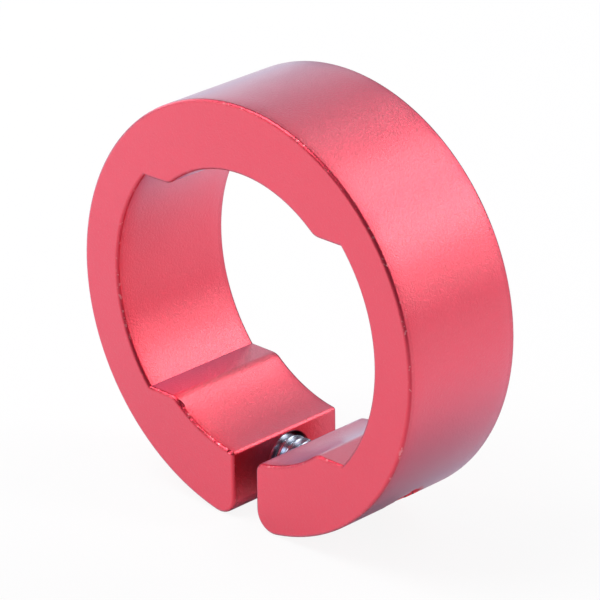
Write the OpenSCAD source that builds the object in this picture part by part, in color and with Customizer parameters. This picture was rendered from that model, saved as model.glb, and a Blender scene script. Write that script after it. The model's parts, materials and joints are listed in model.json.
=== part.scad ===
// Lock ring for a handlebar grip: a slit clamp ring closed by one screw.
// The bar runs along Y, the slit is straight below the bar and the origin is on the
// bar's axis, half way along the ring. All sizes are in millimetres.

/* [Bar and ring] */
// Diameter of the bar that the ring grips
bar_d = 22.2; // [18:0.1:32]
// Radial gap between the bar and the ring before the screw is tightened
bar_gap = 0.05; // [0.02:0.01:0.1]
// Radial thickness of the ring at its gripping lands
wall_t = 5.35; // [5:0.05:8]
// Distance of the rim's centre below the bar, which thickens the wall at the screw
rim_drop = 0.15; // [0:0.05:0.4]
// Width of the ring along the bar
ring_w = 11; // [8:0.5:18]
// Radius of the rounded edges round both end faces
edge_r = 0.25; // [0.1:0.05:0.3]

/* [Recesses for the grip] */
// Depth of the two side recesses below the gripping lands
recess_depth = 1.85; // [0.8:0.05:2.6]
// Height of the recesses from flank to flank
recess_h = 16.9; // [8:0.1:18]
// Radius of the tips where the lands meet the flanks
tip_r = 1.2; // [0.5:0.1:1.5]

/* [Slit] */
// Width of the slit
slit_w = 2.3; // [1.5:0.1:3.5]
// Radius of the slit's corners at the bore
slit_bore_r = 0.35; // [0.35:0.05:0.5]
// Radius of the slit's corners at the rim
slit_rim_r = 1.6; // [0.5:0.1:2]

/* [Screw] */
// Nominal diameter of the screw's thread
thread_d = 4; // [3:0.5:4.5]
// Radial gap between the screw and the tapped lug
thread_gap = 0.05; // [0.02:0.01:0.1]
// Radial gap between the nominal thread and the plain hole in the head's lug
hole_gap = 0.15; // [0.1:0.05:0.4]
// Size of the bevel at the plain hole's mouth in the slit
hole_bevel = 0.1; // [0.05:0.01:0.2]
// Metal left between the plain hole and the bore
hole_wall = 0.3; // [0.2:0.05:1]
// Distance of the screw behind the middle of the ring
screw_back = 0.35; // [0:0.05:1]
// Least thickness of the lug between the slit and the head's seat
seat_t = 3; // [2:0.1:5]
// Length of the screw under its head
screw_l = 10; // [8:0.5:11]
// Size of the bevel at the screw's tip and at the mouth of the tapped hole
thread_bevel = 0.4; // [0.2:0.05:0.6]
// Diameter of the head
head_d = 5.5; // [5:0.1:6.6]
// Height of the head
head_h = 2.8; // [2.2:0.1:4]
// Radius of the head's outer edge
head_edge_r = 0.4; // [0.1:0.1:0.6]
// Radial gap round the head in its pocket
pocket_gap = 0.15; // [0.1:0.05:0.3]
// Metal left between the pocket's inner end and the bore
pocket_wall = 0.45; // [0.3:0.05:1]
// Width of the hex socket across its flats
socket_w = 2.5; // [2:0.5:3]
// Depth of the hex socket
socket_depth = 1.7; // [1.2:0.1:2]

/* [Hidden] */

ring_colour = [0.89, 0.30, 0.39];
steel_colour = [0.74, 0.75, 0.78];

bore_r = bar_d / 2 + bar_gap;
rim_r = bore_r + wall_t;
rim_centre = [0, -rim_drop];
recess_r = bore_r + recess_depth;
flank_y = recess_h / 2;
face_z = ring_w / 2;
slit_x = slit_w / 2;

screw_r = thread_d / 2 - thread_gap;
tapped_r = thread_d / 2;
hole_r = thread_d / 2 + hole_gap;
head_r = head_d / 2;
pocket_r = head_r + pocket_gap;
screw_z = -(bore_r + hole_wall + hole_r);
pocket_top = -screw_z - pocket_r;
// The seat lies far enough from the slit for the pocket to clear the curve of the bore
seat_x = -max(slit_x + seat_t, leg(bore_r + pocket_wall, pocket_top));

// How far a cutting shape runs past the face that it cuts
past = 1;
// How far a corner's cutting shape reaches into the opening beside it
lap = 0.1;
// How far a corner's arc laps over the sides that it rounds, so that no sliver is left
nip = 0.002;
$fn = 96;

// Length of the other leg of a right triangle, from its long side and one leg
function leg(long_side, side) = sqrt(max(0, long_side * long_side - side * side));

// Point on the line from one point to another, at a given distance from the first
function towards(from, to, distance) =
    from + (to - from) * distance / norm(to - from);

// What a rounded edge leaves outside its arc, at the top right corner of a section
module edge_waste(corner, r) {
    difference() {
        translate(corner - [r, r]) square(r + past);
        translate(corner - [r, r]) circle(r = r);
    }
}

// Section of a round post whose two end edges are rounded
module post_section(r) {
    difference() {
        translate([0, -face_z]) square([r, ring_w]);
        for (side = [0, 1])
            mirror([0, side]) edge_waste([r, face_z], edge_r);
    }
}

// Post as wide as the ring, with rounded end edges
module post(r) {
    rotate_extrude() post_section(r);
}

// Section of an opening that flares at both faces, so that it leaves rounded edges
module flare_section(reach) {
    translate([0, -face_z - past]) square([reach, ring_w + 2 * past]);
    for (side = [0, 1])
        mirror([0, side])
            difference() {
                translate([reach - edge_r, face_z - edge_r]) square([2 * edge_r, edge_r + past]);
                translate([reach + edge_r, face_z - edge_r]) circle(r = edge_r);
            }
}

// Round opening with rounded edges at both faces
module round_opening(r) {
    rotate_extrude() flare_section(r);
}

// Straight opening between two flat walls, each at half_gap from the X axis
module flat_opening(half_gap, length) {
    rotate([0, 90, 0])
        rotate([0, 0, 90])
            linear_extrude(height = length, center = true)
                for (side = [0, 1])
                    mirror([side, 0]) flare_section(half_gap);
}

// Cuts the metal outside a rounded corner, right through the ring. The arc has its
// centre at c; a and b lie past its ends, and beyond lies past the sharp corner.
module corner_cut(c, r, a, beyond, b) {
    difference() {
        linear_extrude(height = ring_w + 2 * past, center = true) polygon([a, beyond, b, c]);
        translate(c) post(r);
    }
}

// Opening for the bar: the round bore with a recess on each side for the grip's tabs
module bar_opening() {
    round_opening(bore_r);
    intersection() {
        round_opening(recess_r);
        flat_opening(flank_y, 2 * (recess_r + past));
    }
    for (left = [0, 1], low = [0, 1])
        mirror([left, 0]) mirror([0, low]) land_tip_cut();
}

// Rounds one tip where a gripping land meets the flank of a recess
module land_tip_cut() {
    reach = tip_r - nip;
    c = [leg(bore_r + reach, flank_y + reach), flank_y + reach];
    beyond = [leg(bore_r, flank_y) - tip_r, flank_y - tip_r];
    corner_cut(c, tip_r, towards([0, 0], c, bore_r - lap), beyond, [c.x, flank_y - lap]);
}

// Slit below the bore, with rounded corners at the bore and at the rim
module slit_opening() {
    slit_l = rim_r + rim_drop + past;
    translate([0, -slit_l / 2])
        rotate([0, 0, 90]) flat_opening(slit_x, slit_l);
    for (left = [0, 1])
        mirror([left, 0]) {
            slit_bore_corner();
            slit_rim_corner();
        }
}

// Rounds one corner between the slit and the bore
module slit_bore_corner() {
    reach = slit_bore_r - nip;
    x = slit_x + reach;
    c = [x, -leg(bore_r + reach, x)];
    beyond = [0, c.y + slit_bore_r];
    corner_cut(c, slit_bore_r, towards([0, 0], c, bore_r - lap), beyond, [slit_x - lap, c.y]);
}

// Rounds one corner between the slit and the rim
module slit_rim_corner() {
    reach = slit_rim_r - nip;
    x = slit_x + reach;
    c = rim_centre + [x, -leg(rim_r - reach, x)];
    beyond = [0, c.y - 2 * slit_rim_r];
    corner_cut(c, slit_rim_r, towards(rim_centre, c, rim_r + lap), beyond, [slit_x - lap, c.y]);
}

// Moves what is drawn along Z onto the screw's axis, with its start at the head's seat
// and its direction towards the tip
module on_screw_axis() {
    translate([seat_x, screw_back, screw_z])
        rotate([0, 90, 0])
            children();
}

// Plain hole and head pocket in the left lug, tapped hole through the right one
module screw_holes() {
    to_slit = -seat_x;
    on_screw_axis() {
        translate([0, 0, -rim_r]) cylinder(h = rim_r, r = pocket_r);
        translate([0, 0, -past]) cylinder(h = past + to_slit, r = hole_r);
        translate([0, 0, to_slit - slit_x - hole_bevel])
            cylinder(h = hole_bevel, r1 = hole_r, r2 = hole_r + hole_bevel);
        translate([0, 0, to_slit]) cylinder(h = rim_r, r = tapped_r);
        translate([0, 0, to_slit + slit_x])
            cylinder(h = thread_bevel, r1 = tapped_r + thread_bevel, r2 = tapped_r);
    }
}

// One-piece ring: two gripping lands, two recesses, and a lug on each side of the slit
module clamp_ring() {
    color(ring_colour)
        difference() {
            rotate([90, 0, 0])
                difference() {
                    translate(rim_centre) post(rim_r);
                    bar_opening();
                    slit_opening();
                }
            screw_holes();
        }
}

// Half section of the screw: head below, shank and bevelled tip above
module screw_section() {
    difference() {
        translate([0, -head_h]) square([head_r, head_h]);
        mirror([0, 1]) edge_waste([head_r, head_h], head_edge_r);
    }
    polygon([
        [0, -head_edge_r],
        [screw_r, -head_edge_r],
        [screw_r, screw_l - thread_bevel],
        [screw_r - thread_bevel, screw_l],
        [0, screw_l]
    ]);
}

// Steel screw with a low round head and a hex socket
module clamp_screw() {
    socket_r = socket_w / 2 / cos(30);
    drill_r = socket_w / 2;
    color(steel_colour)
        on_screw_axis()
            difference() {
                rotate_extrude() screw_section();
                translate([0, 0, -head_h - past])
                    cylinder(h = past + socket_depth, r = socket_r, $fn = 6);
                translate([0, 0, socket_depth - head_h])
                    cylinder(h = drill_r * tan(30), r1 = drill_r, r2 = 0);
            }
}

clamp_ring();
clamp_screw();
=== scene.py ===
"""Looks of a lock ring for a handlebar grip: a slit ring of blasted, red anodised aluminium that a steel
cap screw closes. Lengths are in millimetres and the meshes are scaled to metres as they are made."""

import json
import math
import random

import bmesh
import bpy
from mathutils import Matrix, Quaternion, Vector


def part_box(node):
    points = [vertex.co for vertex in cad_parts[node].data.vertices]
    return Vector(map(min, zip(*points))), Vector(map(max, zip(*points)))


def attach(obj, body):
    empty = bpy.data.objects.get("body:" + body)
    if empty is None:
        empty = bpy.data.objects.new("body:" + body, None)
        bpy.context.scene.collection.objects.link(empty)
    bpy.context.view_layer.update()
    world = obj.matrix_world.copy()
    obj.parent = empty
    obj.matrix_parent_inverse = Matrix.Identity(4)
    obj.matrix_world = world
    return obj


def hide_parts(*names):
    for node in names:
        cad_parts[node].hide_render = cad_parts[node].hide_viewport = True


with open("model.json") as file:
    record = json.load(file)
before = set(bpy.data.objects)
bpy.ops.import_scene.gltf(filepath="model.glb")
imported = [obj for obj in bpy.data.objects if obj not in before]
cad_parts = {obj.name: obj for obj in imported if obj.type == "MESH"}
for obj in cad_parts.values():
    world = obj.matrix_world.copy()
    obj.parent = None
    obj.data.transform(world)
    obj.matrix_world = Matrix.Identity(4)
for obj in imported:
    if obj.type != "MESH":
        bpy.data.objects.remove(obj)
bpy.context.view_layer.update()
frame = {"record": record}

MM = 0.001

# Ring, as the frame gives it
ring_lo, ring_hi = (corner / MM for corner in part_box("clamp_ring"))
bar_clamp = next(m for m in frame["record"]["mounts"] if m["name"] == "bar_clamp")
BORE_R = bar_clamp["dims"]["r_mm"]
RIM_R = ring_hi.x
RIM_DROP = RIM_R - ring_hi.z
FACE_Y = ring_hi.y
FLOOR_Z = ring_lo.z

# Ring, sizes of its own
RECESS_DEPTH = 1.85
RECESS_R = BORE_R + RECESS_DEPTH
RECESS_H = 16.9
FLANK_Z = RECESS_H / 2
TIP_R = 1.2
SLIT_W = 2.3
SLIT_X = SLIT_W / 2
LEFT_SLIT_BORE_R = 0.3
RIGHT_SLIT_BORE_R = 0.75
SLIT_RIM_R = 1.6
# Radius of the rolled edges at both end faces. An outward corner that is sharper would make them cross
EDGE_R = 0.28

# Screw, with its axis along X through the two lugs
screw_lo, screw_hi = (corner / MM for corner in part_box("clamp_screw"))
SCREW_Y = (screw_lo.y + screw_hi.y) / 2
SCREW_Z = (screw_lo.z + screw_hi.z) / 2
HEAD_R = (screw_hi.y - screw_lo.y) / 2
HEAD_H = 2.8
HEAD_X = screw_lo.x
SEAT_X = HEAD_X + HEAD_H
TIP_X = screw_hi.x
THREAD_R = 2.0
PITCH = 0.7
THREAD_GAP = 0.05
SHANK_R = THREAD_R - THREAD_GAP
ROOT_R = 1.56
TIP_BEVEL = 0.4
HEAD_EDGE_R = 0.4
HEAD_SEAT_BEVEL = 0.1
SOCKET_W = 2.5
SOCKET_DEPTH = 1.7
SOCKET_BEVEL = 0.08
# How much smaller than the socket's flats the drill's cone at its floor is
DRILL_INSET = 0.05

# Holes in the lugs
POCKET_GAP = 0.15
POCKET_R = HEAD_R + POCKET_GAP
PLAIN_GAP = 0.15
PLAIN_R = THREAD_R + PLAIN_GAP
TAPPED_R = THREAD_R
TAPPED_CREST_R = 1.68
MOUTH_BEVEL = 0.4
PLAIN_BEVEL = 0.1
# Hair's breadth under the head, so that head and seat don't share a plane
SEAT_GAP = 0.01
# The tapped hole's own thread starts this far past the screw's tip
PAST_TIP = 0.1
# The cutting shape reaches this far out of the rim
PAST_RIM = 2

# Nicks in the front edge of the left lower land: turn in degrees, place along Y, radius and bite
NICKS = (
    (233.5, -5.3, 0.5, 0.24),
    (240, -5.45, 0.3, 0.16),
    (247, -5.5, 0.26, 0.14),
    (254, -5.45, 0.3, 0.14),
    (262, -5.45, 0.4, 0.2),
)
# The pebble that cuts a nick is squashed along Y, and each of its points lies at a share of its radius that
# is drawn from a range, the same on each run
NICK_SQUASH = 0.6
NICK_ROUGHNESS = (0.85, 1.15)
random.seed(7)

# Fineness of the meshes
ARC_STEP = 0.28
ARC_STEPS_LEAST = 6
EDGE_STEPS = 6
WIDTH_STEPS = 8
TURN_STEPS = 96
ROWS_A_PITCH = 16
# Points nearer to each other than this are one
SAME_POINT = 1e-4
# Shading breaks at edges sharper than so many degrees
RING_CREASE = 32
SCREW_CREASE = 25

# Tones of the finishes, in linear light
RED_DEEP = (0.90, 0.034, 0.074)
RED_LIGHT = (0.96, 0.048, 0.096)
# Painted sheen: the lilac-grey for where the surface is turned away
RED_PAINTED_SHEEN = (0.37, 0.10, 0.34)
# Painted shade: the darker red on the rolled edges
RED_PAINTED_EDGE_SHADE = (0.45, 0.014, 0.040)
RED_THIN = (0.95, 0.45, 0.48)
STEEL_DARK = (0.25, 0.28, 0.34)
STEEL_LIGHT = (0.43, 0.48, 0.58)
PAPER = (0.92, 0.92, 0.93)
SURROUNDINGS = (0.20, 0.19, 0.22)

# Floor, and how much of its own light it shows to the camera and to the metal
FLOOR_R = 1500
FLOOR_SEEN = 0.9
FLOOR_MIRRORED = 0.05

# Camera: a long lens in front of the ring, to its right and above it
CAMERA_PLACE = Vector((182.87, -185.18, 113.17))
CAMERA_TARGET = Vector((0.334, 0.194, -0.205))
CAMERA_ROLL = -0.669
LENS = 234
SENSOR = 36


def link(name, bm, material):
    """Makes an object of a mesh that was drawn in millimetres."""
    bmesh.ops.recalc_face_normals(bm, faces=bm.faces)
    bmesh.ops.scale(bm, vec=(MM, MM, MM), verts=bm.verts)
    mesh = bpy.data.meshes.new(name)
    bm.to_mesh(mesh)
    bm.free()
    for face in mesh.polygons:
        face.use_smooth = True
    mesh.materials.append(material)
    made = bpy.data.objects.new(name, mesh)
    bpy.context.scene.collection.objects.link(made)
    return made


def unit(degrees):
    """Unit vector of the ring's section, from +X towards +Z."""
    angle = math.radians(degrees)
    return Vector((math.cos(angle), math.sin(angle)))


def leg(long_side, side):
    """Other leg of a right triangle."""
    return math.sqrt(long_side ** 2 - side ** 2)


def arc(centre, radius, start, end, facing):
    """Stations along an arc: each a point and the way out of the metal there. Facing is 1 where the metal
    is inside the arc and -1 where it is outside."""
    length = radius * math.radians(abs(end - start))
    steps = max(ARC_STEPS_LEAST, math.ceil(length / ARC_STEP))
    turns = [unit(start + (end - start) * i / steps) for i in range(steps + 1)]
    return [(centre + radius * turn, facing * turn) for turn in turns]


def ring_half(slit_bore_r):
    """Stations of the right half of the ring's section, with the metal on the left: from the top of the
    bore down to the slit, round its lip and up the rim. The corner of bore and slit has its own radius."""
    hub = Vector((0, 0))
    rim_centre = Vector((0, -RIM_DROP))
    tip = Vector((leg(BORE_R + TIP_R, FLANK_Z + TIP_R), FLANK_Z + TIP_R))
    tip_turn = math.degrees(math.atan2(tip.y, tip.x))
    recess_turn = math.degrees(math.asin(FLANK_Z / RECESS_R))
    slit_bore = Vector((SLIT_X + slit_bore_r, -leg(BORE_R + slit_bore_r, SLIT_X + slit_bore_r)))
    slit_bore_turn = math.degrees(math.atan2(slit_bore.y, slit_bore.x))
    slit_rim = rim_centre + Vector((SLIT_X + SLIT_RIM_R, -leg(RIM_R - SLIT_RIM_R, SLIT_X + SLIT_RIM_R)))
    slit_rim_turn = math.degrees(math.atan2(slit_rim.y - rim_centre.y, slit_rim.x))

    upper_land = arc(hub, BORE_R, 90, tip_turn, -1)
    upper_tip = arc(tip, TIP_R, tip_turn + 180, 270, 1)
    recess = arc(hub, RECESS_R, recess_turn, -recess_turn, -1)
    lower_tip = arc(Vector((tip.x, -tip.y)), TIP_R, 90, 180 - tip_turn, 1)
    lower_land = arc(hub, BORE_R, -tip_turn, slit_bore_turn, -1)
    slit_bore_corner = arc(slit_bore, slit_bore_r, slit_bore_turn + 180, 180, 1)
    slit_rim_corner = arc(slit_rim, SLIT_RIM_R, 180, 360 + slit_rim_turn, 1)
    rim = arc(rim_centre, RIM_R, slit_rim_turn, 90, 1)

    # At each inner corner of a recess the ways out of flank and recess meet in a mitre
    for end, flank_out in ((0, Vector((0, -1))), (-1, Vector((0, 1)))):
        point, out = recess[end]
        recess[end] = (point, (out + flank_out) / (1 + out.dot(flank_out)))
    stations = upper_land + upper_tip + recess + lower_tip + lower_land
    stations += slit_bore_corner + slit_rim_corner + rim
    return stations


def ring_outline():
    """Stations all round the section, without the doubles where two stretches meet."""
    right = ring_half(RIGHT_SLIT_BORE_R)
    left = [(Vector((-p.x, p.y)), Vector((-n.x, n.y))) for p, n in reversed(ring_half(LEFT_SLIT_BORE_R))]
    outline = []
    for point, out in right + left:
        if not outline or (point - outline[-1][0]).length > SAME_POINT:
            outline.append((point, out))
    if (outline[0][0] - outline[-1][0]).length <= SAME_POINT:
        outline.pop()
    return outline


def ring_rows():
    """Rows across the ring's width: the place along Y and how far the rolled edge draws the metal in."""
    rolled = [math.radians(90 * i / EDGE_STEPS) for i in range(EDGE_STEPS + 1)]
    flat = FACE_Y - EDGE_R
    back = [(flat + EDGE_R * math.sin(a), EDGE_R * (1 - math.cos(a))) for a in rolled]
    front = [(-y, inset) for y, inset in reversed(back)]
    middle = [(flat * (2 * i / WIDTH_STEPS - 1), 0) for i in range(1, WIDTH_STEPS)]
    return front + middle + back


def ring_body(material):
    """Slit ring with rolled edges, before its holes are cut."""
    bm = bmesh.new()
    outline = ring_outline()
    rows = []
    for y, inset in ring_rows():
        places = [p - inset * out for p, out in outline]
        rows.append([bm.verts.new((p.x, y, p.y)) for p in places])
    for near, far in zip(rows, rows[1:]):
        for i in range(len(near)):
            bm.faces.new((near[i - 1], near[i], far[i], far[i - 1]))
    bm.faces.new(rows[0])
    bm.faces.new(reversed(rows[-1]))
    return link("clamp_ring_body", bm, material)


def on_screw_axis(bm, x, radius, turn):
    """New point at a place along the screw's axis, a distance from it and a turn round it."""
    return bm.verts.new((x, SCREW_Y + radius * math.cos(turn), SCREW_Z + radius * math.sin(turn)))


def revolve(bm, stations):
    """Skin round the screw's axis. Stations are pairs of x and radius, each a number or a function of the
    turn. A radius of 0 closes the skin in a point."""
    rings = []
    for x, radius in stations:
        if radius == 0:
            rings.append([on_screw_axis(bm, x, 0, 0)])
            continue
        ring = []
        for i in range(TURN_STEPS):
            turn = 2 * math.pi * i / TURN_STEPS
            place = x(turn) if callable(x) else x
            r = radius(turn) if callable(radius) else radius
            ring.append(on_screw_axis(bm, place, r, turn))
        rings.append(ring)
    for near, far in zip(rings, rings[1:]):
        for i in range(TURN_STEPS):
            if len(near) == 1:
                corners = (near[0], far[i], far[i - 1])
            elif len(far) == 1:
                corners = (near[i - 1], near[i], far[0])
            else:
                corners = (near[i - 1], near[i], far[i], far[i - 1])
            bm.faces.new(corners)


def thread_radius(x, turn, root, crest):
    """Radius of a right-hand thread: flat for an eighth of its pitch at the crest, a quarter at the root."""
    crest_flat = 1 / 8
    root_flat = 1 / 4
    phase = (x / PITCH - turn / (2 * math.pi)) % 1
    from_crest = abs(phase - 0.5) * 2
    down_flank = (from_crest - crest_flat) / (1 - crest_flat - root_flat)
    return crest + (root - crest) * min(1, max(0, down_flank))


def threaded(bm, start, end, radius_at):
    """Skin of a thread along the screw's axis. Its rows follow the helix, which keeps the crest crisp, and
    are pressed flat at the two ends."""
    row = PITCH / ROWS_A_PITCH
    count = math.ceil((end - start) / row) + ROWS_A_PITCH + 1
    columns = []
    for i in range(TURN_STEPS):
        turn = 2 * math.pi * i / TURN_STEPS
        column = []
        for j in range(count + 1):
            x = start + (j - ROWS_A_PITCH) * row + PITCH * i / TURN_STEPS
            x = min(end, max(start, x))
            column.append(on_screw_axis(bm, x, radius_at(x, turn), turn))
        columns.append(column)
    for i in range(TURN_STEPS):
        shift = 0 if i else ROWS_A_PITCH
        near, far = columns[i - 1], columns[i]
        for j in range(count - shift):
            bm.faces.new((near[j], far[j + shift], far[j + shift + 1], near[j + 1]))


def weld(bm):
    """Joins the stretches of a skin where they meet."""
    bmesh.ops.remove_doubles(bm, verts=bm.verts, dist=SAME_POINT)


def screw_mesh(material):
    """Cap screw: low head with a hex socket, thread up to the head, bevelled tip."""
    bm = bmesh.new()
    flat_r = SOCKET_W / 2
    corner_r = flat_r / math.cos(math.radians(30))
    mouth_r = corner_r + SOCKET_BEVEL
    drill_r = flat_r - DRILL_INSET

    def hexagon(turn):
        return flat_r / math.cos((turn % math.radians(60)) - math.radians(30))

    def mouth_x(turn):
        return HEAD_X + mouth_r - hexagon(turn)

    floor_x = HEAD_X + SOCKET_DEPTH
    bend = [math.radians(90 * i / EDGE_STEPS) for i in range(EDGE_STEPS + 1)]
    rounding = [
        (HEAD_X + HEAD_EDGE_R * (1 - math.cos(a)), HEAD_R - HEAD_EDGE_R * (1 - math.sin(a)))
        for a in bend
    ]
    neck_r = SHANK_R - TIP_BEVEL
    revolve(bm, [
        (floor_x + drill_r * math.tan(math.radians(30)), 0),
        (floor_x, drill_r),
        (floor_x, hexagon),
        (mouth_x, hexagon),
        (HEAD_X, mouth_r),
        *rounding,
        (SEAT_X - HEAD_SEAT_BEVEL, HEAD_R),
        (SEAT_X, HEAD_R - HEAD_SEAT_BEVEL),
        (SEAT_X, neck_r),
    ])

    def shank(x, turn):
        from_end = min(x - SEAT_X, TIP_X - x)
        return min(thread_radius(x, turn, ROOT_R, SHANK_R), neck_r + from_end)

    threaded(bm, SEAT_X, TIP_X, shank)
    revolve(bm, [(TIP_X, neck_r), (TIP_X, 0)])
    weld(bm)
    return link("cap_screw", bm, material)


def hole_mesh(material):
    """What is cut out of the ring: head pocket, plain hole, tapped hole with its thread past the screw's
    tip, and the nicks in the land's edge."""
    bm = bmesh.new()
    outside = RIM_R + PAST_RIM
    thread_x = TIP_X + PAST_TIP
    revolve(bm, [
        (-outside, 0),
        (-outside, POCKET_R),
        (SEAT_X + SEAT_GAP, POCKET_R),
        (SEAT_X + SEAT_GAP, PLAIN_R),
        (-SLIT_X - PLAIN_BEVEL, PLAIN_R),
        (-SLIT_X, PLAIN_R + PLAIN_BEVEL),
        (SLIT_X, TAPPED_R + MOUTH_BEVEL),
        (SLIT_X + MOUTH_BEVEL, TAPPED_R),
        (thread_x, TAPPED_R),
    ])

    def tapped(x, turn):
        return max(thread_radius(x, turn, TAPPED_CREST_R, TAPPED_R), TAPPED_R + thread_x - x)

    threaded(bm, thread_x, outside, tapped)
    revolve(bm, [(outside, lambda turn: tapped(outside, turn)), (outside, 0)])
    weld(bm)
    for degrees, y, radius, bite in NICKS:
        add_nick(bm, degrees, y, radius, bite)
    return link("lug_holes_and_nicks", bm, material)


def add_nick(bm, degrees, y, radius, bite):
    """Small rough pebble that bites into the bore's front edge."""
    pebble = bmesh.ops.create_icosphere(bm, subdivisions=2, radius=radius)["verts"]
    middle = (BORE_R - radius + bite) * unit(degrees)
    for vert in pebble:
        squashed = Vector((vert.co.x, vert.co.y * NICK_SQUASH, vert.co.z))
        vert.co = squashed * random.uniform(*NICK_ROUGHNESS) + Vector((middle.x, y, middle.y))


def cut(body, cutter):
    """Takes the cutter's shape out of the body and removes the cutter."""
    modifier = body.modifiers.new("cut", "BOOLEAN")
    modifier.operation = "DIFFERENCE"
    modifier.solver = "EXACT"
    modifier.object = cutter
    bpy.context.view_layer.update()
    shaped = body.evaluated_get(bpy.context.evaluated_depsgraph_get())
    mesh = bpy.data.meshes.new_from_object(shaped)
    body.modifiers.remove(modifier)
    body.data = mesh
    bpy.data.objects.remove(cutter)


def crisp(piece, degrees):
    """Smooth shading that breaks at edges sharper than so many degrees and leaves flat faces flat."""
    piece.data.set_sharp_from_angle(angle=math.radians(degrees))
    normals = piece.modifiers.new("even_normals", "WEIGHTED_NORMAL")
    normals.keep_sharp = True
    normals.weight = 100


def nodes_for(tree):
    """Short ways to add a node, with its settings and its sockets' values, and to join two sockets."""
    def node(kind, sockets=None, **settings):
        made = tree.nodes.new(kind)
        for name, value in settings.items():
            setattr(made, name, value)
        for name, value in (sockets or {}).items():
            made.inputs[name].default_value = value
        return made

    return node, tree.links.new


def group(name, inputs, outputs):
    """New shader node group with named number sockets. Returns it with its ends."""
    tree = bpy.data.node_groups.new(name, "ShaderNodeTree")
    for socket, value in inputs.items():
        made = tree.interface.new_socket(socket, in_out="INPUT", socket_type="NodeSocketFloat")
        made.default_value = value
    for socket in outputs:
        tree.interface.new_socket(socket, in_out="OUTPUT", socket_type="NodeSocketFloat")
    return tree, tree.nodes.new("NodeGroupInput"), tree.nodes.new("NodeGroupOutput")


def placed(node, tree, values):
    """A node group placed in a material with its own values."""
    return node("ShaderNodeGroup", values, node_tree=tree)


def blasted_grain():
    """Fine pits that bead blasting leaves, and the slow drift of tone over the surface."""
    tree, given, out = group("blasted_grain", {"Grain Scale": 5000, "Drift Scale": 90}, ["Height", "Drift"])
    node, join = nodes_for(tree)
    place = node("ShaderNodeTexCoord")

    # Pits of two sizes, one laid over the other
    coarse = node("ShaderNodeTexNoise", {"Detail": 1.0, "Roughness": 0.5, "Distortion": 0.8})
    fine_scale = node("ShaderNodeMath", {1: 1.7}, operation="MULTIPLY")
    fine = node("ShaderNodeTexNoise", {"Detail": 1.0, "Roughness": 0.5, "Distortion": 0.8})
    both = node("ShaderNodeMath", {1: 0.45}, operation="MULTIPLY_ADD")
    join(place.outputs["Object"], coarse.inputs["Vector"])
    join(place.outputs["Object"], fine.inputs["Vector"])
    join(given.outputs["Grain Scale"], coarse.inputs["Scale"])
    join(given.outputs["Grain Scale"], fine_scale.inputs[0])
    join(fine_scale.outputs[0], fine.inputs["Scale"])
    join(fine.outputs["Fac"], both.inputs[0])
    join(coarse.outputs["Fac"], both.inputs[2])
    join(both.outputs[0], out.inputs["Height"])

    drift = node("ShaderNodeTexNoise", {"Detail": 2.0, "Roughness": 0.5})
    join(place.outputs["Object"], drift.inputs["Vector"])
    join(given.outputs["Drift Scale"], drift.inputs["Scale"])
    join(drift.outputs["Fac"], out.inputs["Drift"])
    return tree


def rolled_edge():
    """Mask of the rolled edges at the two end faces, and of the specks on them where the finish has rubbed
    thin. Start is the distance along the bar's axis from which the edges roll."""
    inputs = {"Start": 0.005, "Speck Scale": 2500, "Rub": 0.5}
    tree, given, out = group("rolled_edge", inputs, ["Edge", "Specks"])
    node, join = nodes_for(tree)
    place = node("ShaderNodeTexCoord")

    # Four times y (1 - y), where y is how far the surface faces along the bar's axis
    way_out = node("ShaderNodeSeparateXYZ")
    axial = node("ShaderNodeMath", operation="ABSOLUTE")
    rest = node("ShaderNodeMath", {0: 1.0}, operation="SUBTRACT")
    product = node("ShaderNodeMath", operation="MULTIPLY")
    slope = node("ShaderNodeMath", {1: 4.0}, operation="MULTIPLY", use_clamp=True)
    join(place.outputs["Normal"], way_out.inputs[0])
    join(way_out.outputs["Y"], axial.inputs[0])
    join(axial.outputs[0], rest.inputs[1])
    join(axial.outputs[0], product.inputs[0])
    join(rest.outputs[0], product.inputs[1])
    join(product.outputs[0], slope.inputs[0])

    # Only near the end faces, so not in the screw's holes
    spot = node("ShaderNodeSeparateXYZ")
    along = node("ShaderNodeMath", operation="ABSOLUTE")
    near_face = node("ShaderNodeMath", operation="GREATER_THAN")
    mask = node("ShaderNodeMath", operation="MULTIPLY")
    join(place.outputs["Object"], spot.inputs[0])
    join(spot.outputs["Y"], along.inputs[0])
    join(along.outputs[0], near_face.inputs[0])
    join(given.outputs["Start"], near_face.inputs[1])
    join(slope.outputs[0], mask.inputs[0])
    join(near_face.outputs[0], mask.inputs[1])
    join(mask.outputs[0], out.inputs["Edge"])

    # Rub is the share of the noise's range that shows as specks
    noise = node("ShaderNodeTexNoise", {"Detail": 2.0, "Roughness": 0.6})
    limit = node("ShaderNodeMath", {0: 1.0}, operation="SUBTRACT")
    over = node("ShaderNodeMath", operation="GREATER_THAN")
    specks = node("ShaderNodeMath", operation="MULTIPLY")
    join(place.outputs["Object"], noise.inputs["Vector"])
    join(given.outputs["Speck Scale"], noise.inputs["Scale"])
    join(given.outputs["Rub"], limit.inputs[1])
    join(noise.outputs["Fac"], over.inputs[0])
    join(limit.outputs[0], over.inputs[1])
    join(over.outputs[0], specks.inputs[0])
    join(mask.outputs[0], specks.inputs[1])
    join(specks.outputs[0], out.inputs["Specks"])
    return tree


def mix(node, **tones):
    """Node that mixes two tones. One that isn't given here is joined later."""
    made = node("ShaderNodeMix", data_type="RGBA")
    for socket, tone in tones.items():
        made.inputs[socket].default_value = (*tone, 1)
    return made


def metal(name):
    """New metal material, with its ways to add and join nodes and its shader."""
    material = bpy.data.materials.new(name)
    material.use_nodes = True
    skin = material.node_tree.nodes["Principled BSDF"]
    skin.inputs["Metallic"].default_value = 1.0
    return material, *nodes_for(material.node_tree), skin


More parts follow.
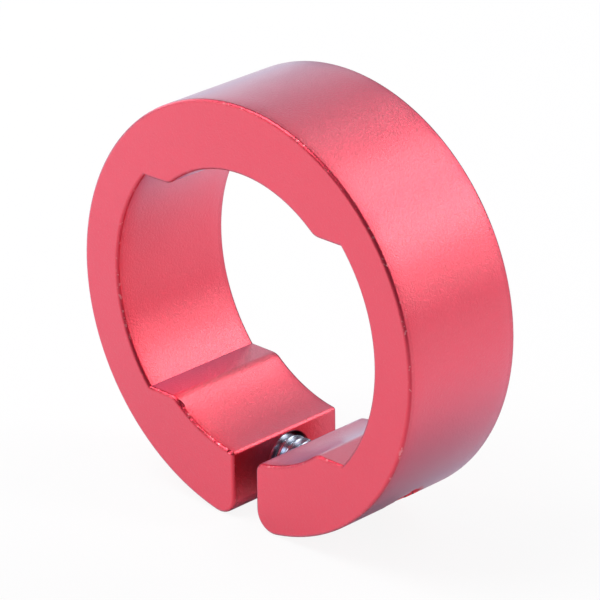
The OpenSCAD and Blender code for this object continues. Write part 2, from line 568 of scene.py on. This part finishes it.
def roughen(node, join, skin, pits, low, high, pit_depth):
    """Roughness that drifts between two values, and pits of a given depth."""
    satin = node("ShaderNodeMapRange", {"To Min": low, "To Max": high})
    bump = node("ShaderNodeBump", {"Strength": 1.0, "Distance": pit_depth * MM})
    join(pits.outputs["Drift"], satin.inputs["Value"])
    join(satin.outputs["Result"], skin.inputs["Roughness"])
    join(pits.outputs["Height"], bump.inputs["Height"])
    join(bump.outputs["Normal"], skin.inputs["Normal"])


def anodised_red(grain, edge):
    """Blasted aluminium under a clear red anodic film, rubbed thin in specks on the rolled edges. Its colour
    holds a painted sheen, lilac-grey where the surface is turned away, and painted shade, a darker red on
    the rolled edges."""
    material, node, join, skin = metal("anodised_red")
    skin.inputs["Coat Roughness"].default_value = 0.32
    skin.inputs["Coat IOR"].default_value = 1.7
    pits = placed(node, grain, {"Grain Scale": 6500.0, "Drift Scale": 90.0})
    edge_start = (FACE_Y - 2 * EDGE_R) * MM
    rim = placed(node, edge, {"Start": edge_start, "Speck Scale": 2500.0, "Rub": 0.36})
    roughen(node, join, skin, pits, 0.285, 0.33, 0.038)

    # Body of the film
    tone = mix(node, A=RED_DEEP, B=RED_LIGHT)
    join(pits.outputs["Drift"], tone.inputs["Factor"])

    # Painted sheen: the red turns lilac-grey with the cube of how far the surface is turned away, standing
    # in for reflection at a slant
    slant = node("ShaderNodeLayerWeight", {"Blend": 0.5})
    steep = node("ShaderNodeMath", {1: 3.0}, operation="POWER")
    share = node("ShaderNodeMath", {1: 1.5}, operation="MULTIPLY", use_clamp=True)
    painted_sheen = mix(node, B=RED_PAINTED_SHEEN)
    join(slant.outputs["Facing"], steep.inputs[0])
    join(steep.outputs[0], share.inputs[0])
    join(share.outputs[0], painted_sheen.inputs["Factor"])
    join(tone.outputs["Result"], painted_sheen.inputs["A"])

    # Rolled edges: painted shade, a darker red that stands in for the dark they reflect, and less gloss
    edge_shade_share = node("ShaderNodeMath", {1: 0.6}, operation="MULTIPLY")
    painted_edge_shade = mix(node, B=RED_PAINTED_EDGE_SHADE)
    gloss = node("ShaderNodeMath", {1: -0.5, 2: 1.0}, operation="MULTIPLY_ADD")
    join(rim.outputs["Edge"], edge_shade_share.inputs[0])
    join(edge_shade_share.outputs[0], painted_edge_shade.inputs["Factor"])
    join(painted_sheen.outputs["Result"], painted_edge_shade.inputs["A"])
    join(rim.outputs["Edge"], gloss.inputs[0])
    join(gloss.outputs[0], skin.inputs["Coat Weight"])

    # Specks where the film is thin
    wear = node("ShaderNodeMath", {1: 0.4}, operation="MULTIPLY")
    worn = mix(node, B=RED_THIN)
    join(rim.outputs["Specks"], wear.inputs[0])
    join(wear.outputs[0], worn.inputs["Factor"])
    join(painted_edge_shade.outputs["Result"], worn.inputs["A"])
    join(worn.outputs["Result"], skin.inputs["Base Color"])
    return material


def plated_steel(grain):
    """Bright plated steel."""
    material, node, join, skin = metal("plated_steel")
    pits = placed(node, grain, {"Grain Scale": 3000.0, "Drift Scale": 700.0})
    roughen(node, join, skin, pits, 0.20, 0.26, 0.0015)
    tone = mix(node, A=STEEL_DARK, B=STEEL_LIGHT)
    join(pits.outputs["Drift"], tone.inputs["Factor"])
    join(tone.outputs["Result"], skin.inputs["Base Color"])
    return material


def studio_floor():
    """Pale paper that shows nearly white to the camera and keeps a soft shadow."""
    material = bpy.data.materials.new("studio_floor")
    material.use_nodes = True
    tree = material.node_tree
    tree.nodes.clear()
    node, join = nodes_for(tree)
    paper = node("ShaderNodeBsdfDiffuse", {"Color": (*PAPER, 1)})
    glow = node("ShaderNodeEmission", {"Color": (1, 1, 1, 1), "Strength": 1.0})

    # Share of the glow: one for the camera, another for what the metal mirrors
    ray = node("ShaderNodeLightPath")
    seen = node("ShaderNodeMath", {1: FLOOR_SEEN}, operation="MULTIPLY")
    mirrored = node("ShaderNodeMath", operation="MAXIMUM")
    faint = node("ShaderNodeMath", {1: FLOOR_MIRRORED}, operation="MULTIPLY")
    share = node("ShaderNodeMath", operation="MAXIMUM")
    join(ray.outputs["Is Camera Ray"], seen.inputs[0])
    join(ray.outputs["Is Glossy Ray"], mirrored.inputs[0])
    join(ray.outputs["Is Transmission Ray"], mirrored.inputs[1])
    join(mirrored.outputs[0], faint.inputs[0])
    join(seen.outputs[0], share.inputs[0])
    join(faint.outputs[0], share.inputs[1])

    both = node("ShaderNodeMixShader")
    surface = node("ShaderNodeOutputMaterial")
    join(share.outputs[0], both.inputs["Fac"])
    join(paper.outputs[0], both.inputs[1])
    join(glow.outputs[0], both.inputs[2])
    join(both.outputs[0], surface.inputs["Surface"])
    return material


def floor_disc(material):
    """Wide round floor under the lips of the slit."""
    bm = bmesh.new()
    bmesh.ops.create_circle(bm, cap_ends=True, segments=64, radius=FLOOR_R)
    bmesh.ops.translate(bm, vec=(0, 0, FLOOR_Z), verts=bm.verts)
    return link("floor", bm, material)


def softbox(name, azimuth, elevation, size, radiance, distance=320):
    """Rectangular lamp that faces the ring. Azimuth 0 is at -Y and 90 at +X, as for the views."""
    lamp = bpy.data.lights.new(name, "AREA")
    lamp.shape = "RECTANGLE"
    lamp.size, lamp.size_y = (side * MM for side in size)
    lamp.energy = radiance * math.pi * lamp.size * lamp.size_y
    made = bpy.data.objects.new(name, lamp)
    a, e = math.radians(azimuth), math.radians(elevation)
    way = Vector((math.sin(a) * math.cos(e), -math.cos(a) * math.cos(e), math.sin(e)))
    made.location = way * distance * MM
    made.rotation_mode = "QUATERNION"
    made.rotation_quaternion = (-way).to_track_quat("-Z", "Y")
    bpy.context.scene.collection.objects.link(made)


def light_studio():
    """Softboxes behind the ring for its rim and bore, large ones in front for its face, dim surroundings."""
    softbox("right_back_low", azimuth=133, elevation=12, size=(110, 95), radiance=1.9)
    softbox("right_back", azimuth=140, elevation=29, size=(120, 95), radiance=4.3)
    softbox("right_back_high", azimuth=155, elevation=45, size=(120, 95), radiance=3.5)
    softbox("back_high", azimuth=182, elevation=52, size=(130, 95), radiance=1.5)
    softbox("left_back_high", azimuth=208, elevation=42, size=(120, 95), radiance=0.75)
    softbox("left_back", azimuth=225, elevation=22, size=(110, 110), radiance=0.9)
    softbox("left_back_low", azimuth=240, elevation=6, size=(150, 60), radiance=1.25)
    softbox("left", azimuth=270, elevation=20, size=(180, 110), radiance=3.4)
    softbox("front_left", azimuth=-50, elevation=62, size=(260, 260), radiance=6.0, distance=450)
    softbox("front_left_low", azimuth=-44, elevation=14, size=(220, 110), radiance=2.2, distance=400)

    world = bpy.data.worlds.new("surroundings")
    world.use_nodes = True
    background = world.node_tree.nodes["Background"]
    background.inputs["Color"].default_value = (*SURROUNDINGS, 1)
    background.inputs["Strength"].default_value = 1.0
    bpy.context.scene.world = world


def set_camera():
    """Long lens that looks down at the ring's front face from its right."""
    data = bpy.data.cameras.new("camera")
    data.sensor_width = SENSOR
    data.lens = LENS
    camera = bpy.data.objects.new("camera", data)
    bpy.context.scene.collection.objects.link(camera)
    look = CAMERA_TARGET - CAMERA_PLACE
    camera.location = CAMERA_PLACE * MM
    camera.rotation_mode = "QUATERNION"
    roll = Quaternion((0, 0, 1), math.radians(CAMERA_ROLL))
    camera.rotation_quaternion = look.to_track_quat("-Z", "Y") @ roll
    bpy.context.scene.camera = camera


grain = blasted_grain()
red = anodised_red(grain, rolled_edge())
steel = plated_steel(grain)

ring = ring_body(red)
cut(ring, hole_mesh(red))
ring.name = "lock_ring"
crisp(ring, RING_CREASE)
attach(ring, "ring")
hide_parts("clamp_ring")

screw = screw_mesh(steel)
crisp(screw, SCREW_CREASE)
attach(screw, "screw")
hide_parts("clamp_screw")

floor_disc(studio_floor())
light_studio()
set_camera()
bpy.context.scene.view_settings.view_transform = "Standard"
